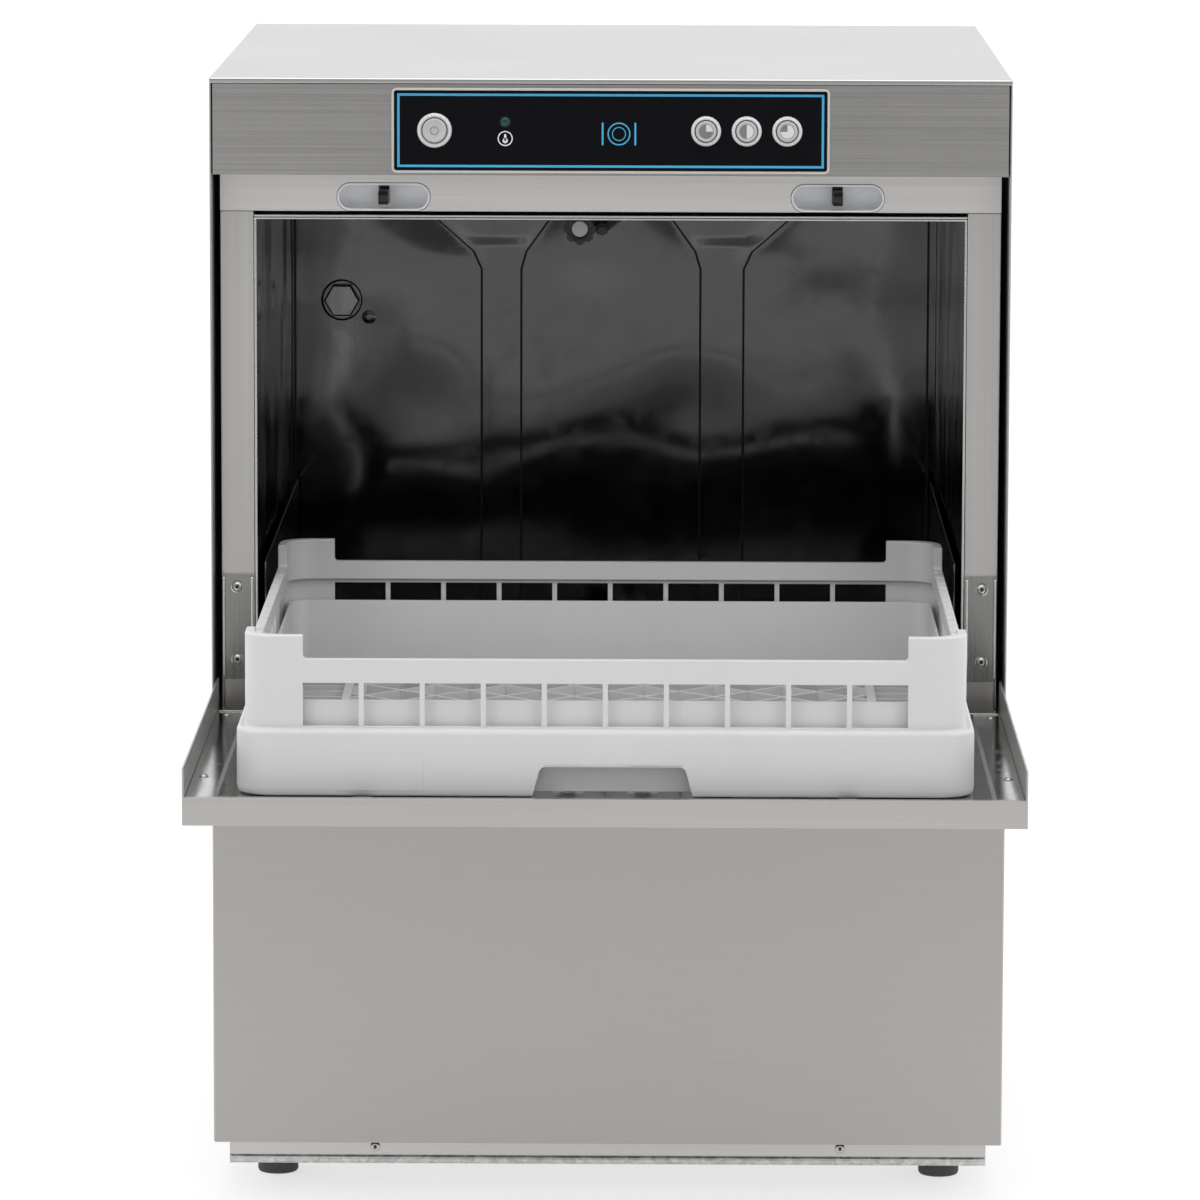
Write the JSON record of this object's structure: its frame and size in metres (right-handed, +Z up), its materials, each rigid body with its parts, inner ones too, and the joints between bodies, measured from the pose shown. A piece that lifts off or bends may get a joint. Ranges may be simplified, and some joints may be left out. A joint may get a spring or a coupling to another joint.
{
  "type": "commercial dishwasher",
  "caption": "Under-counter front-loading commercial dishwasher with a drop-down door and a square basket drawn out on it.",
  "frame": {"origin": "centre of the whole object's bounding box, on the floor, with the door open as stored", "axes": "+Z up; -Y is the front, where the door drops; +X is the operator's right"},
  "size_m": [0.575, 0.9984, 0.82],
  "materials": {
    "cabinet_steel": "satin brushed stainless",
    "chamber_steel": "bright polished stainless",
    "galvanised_steel": "dull galvanised",
    "basket_plastic": "fine satin polypropylene",
    "latch_plastic": "satin",
    "black_plastic": "satin",
    "panel_black": "gloss membrane",
    "button_silver": "satin silver",
    "lamp_green": "translucent green",
    "foot_rubber": "matte",
    "pump_casting": "painted casting"
  },
  "bodies": {
    "cabinet": {"base_frame": "galvanised_steel", "foot_front_left": "foot_rubber", "foot_front_right": "foot_rubber", "foot_rear_left": "foot_rubber", "foot_rear_right": "foot_rubber", "left_side_panel": "cabinet_steel", "right_side_panel": "cabinet_steel", "back_panel": "cabinet_steel", "top_panel": "cabinet_steel", "lower_front_panel": "cabinet_steel", "connection_plate": "galvanised_steel", "cable_gland": "black_plastic", "drain_outlet": "black_plastic", "inlet_valve": "pump_casting", "control_fascia": "cabinet_steel", "control_panel": "panel_black", "control_bezel": "button_silver", "control_housing": "black_plastic", "temperature_lamp": "lamp_green", "frame_top_rail": "cabinet_steel", "frame_left_jamb": "cabinet_steel", "frame_right_jamb": "cabinet_steel", "frame_sill": "cabinet_steel", "left_latch_housing": "latch_plastic", "right_latch_housing": "latch_plastic", "left_hinge_bracket": "cabinet_steel", "right_hinge_bracket": "cabinet_steel", "left_hinge_pin": "cabinet_steel", "right_hinge_pin": "cabinet_steel", "chamber_left_wall": "chamber_steel", "chamber_right_wall": "chamber_steel", "chamber_back_wall": "chamber_steel", "chamber_roof": "chamber_steel", "left_rack_guide": "cabinet_steel", "right_rack_guide": "cabinet_steel", "wash_tank": "chamber_steel", "tank_filter": "cabinet_steel", "tank_heater": "cabinet_steel", "overflow_pipe": "black_plastic", "upper_spindle": "black_plastic", "lower_spindle": "black_plastic", "riser_pipe": "black_plastic", "wash_pump_motor": "pump_casting", "wash_pump": "pump_casting", "rinse_boiler": "black_plastic", "dosing_pump": "black_plastic"},
    "door": {"door_outer_skin": "cabinet_steel", "door_inner_skin": "chamber_steel"},
    "basket_link": {"basket_cross_bar": "basket_plastic"},
    "basket": {"basket": "basket_plastic"},
    "upper_arm": {"upper_wash_arm": "chamber_steel", "upper_rinse_arm": "chamber_steel"},
    "lower_arm": {"lower_wash_arm": "chamber_steel", "lower_rinse_arm": "chamber_steel"},
    "power_button": {"power_button": "button_silver"},
    "program_button_1": {"program_button_1": "button_silver"},
    "program_button_2": {"program_button_2": "button_silver"},
    "program_button_3": {"program_button_3": "button_silver"},
    "left_catch": {"left_latch_catch": "black_plastic"},
    "right_catch": {"right_latch_catch": "black_plastic"}
  },
  "joints": [
    {"name": "door_hinge", "type": "hinge", "parent": "cabinet", "child": "door", "pos_m": [0, -0.10175, 0.35], "axis": [-1, 0, 0], "range_deg": [0, 90]},
    {"name": "basket_carry", "type": "hinge", "parent": "cabinet", "child": "basket_link", "pos_m": [0, -0.01925, 0.366], "axis": [-1, 0, 0], "range_deg": [0, 180]},
    {"name": "basket_level", "type": "hinge", "parent": "basket_link", "child": "basket", "pos_m": [0, -0.22775, 0.366], "axis": [-1, 0, 0], "range_deg": [-180, 0]},
    {"name": "upper_arm_spin", "type": "hinge", "parent": "cabinet", "child": "upper_arm", "pos_m": [0, 0.18925, 0.7035], "axis": [0, 0, 1], "continuous": true},
    {"name": "lower_arm_spin", "type": "hinge", "parent": "cabinet", "child": "lower_arm", "pos_m": [0, 0.18925, 0.333], "axis": [0, 0, 1], "continuous": true},
    {"name": "power_button_press", "type": "slide", "parent": "cabinet", "child": "power_button", "axis": [0, 1, 0], "range_m": [0, 0.002], "stiffness_N_per_m": 400, "springref_m": -0.001},
    {"name": "program_button_1_press", "type": "slide", "parent": "cabinet", "child": "program_button_1", "axis": [0, 1, 0], "range_m": [0, 0.002], "stiffness_N_per_m": 400, "springref_m": -0.001},
    {"name": "program_button_2_press", "type": "slide", "parent": "cabinet", "child": "program_button_2", "axis": [0, 1, 0], "range_m": [0, 0.002], "stiffness_N_per_m": 400, "springref_m": -0.001},
    {"name": "program_button_3_press", "type": "slide", "parent": "cabinet", "child": "program_button_3", "axis": [0, 1, 0], "range_m": [0, 0.002], "stiffness_N_per_m": 400, "springref_m": -0.001},
    {"name": "left_catch_lift", "type": "slide", "parent": "cabinet", "child": "left_catch", "axis": [0, 0, 1], "range_m": [0, 0.002], "stiffness_N_per_m": 600, "springref_m": -0.0005},
    {"name": "right_catch_lift", "type": "slide", "parent": "cabinet", "child": "right_catch", "axis": [0, 0, 1], "range_m": [0, 0.002], "stiffness_N_per_m": 600, "springref_m": -0.0005}
  ],
  "couplings": [
    {"joint": "basket_carry", "follows": "door_hinge", "ratio": 2},
    {"joint": "basket_level", "follows": "door_hinge", "ratio": -2}
  ]
}
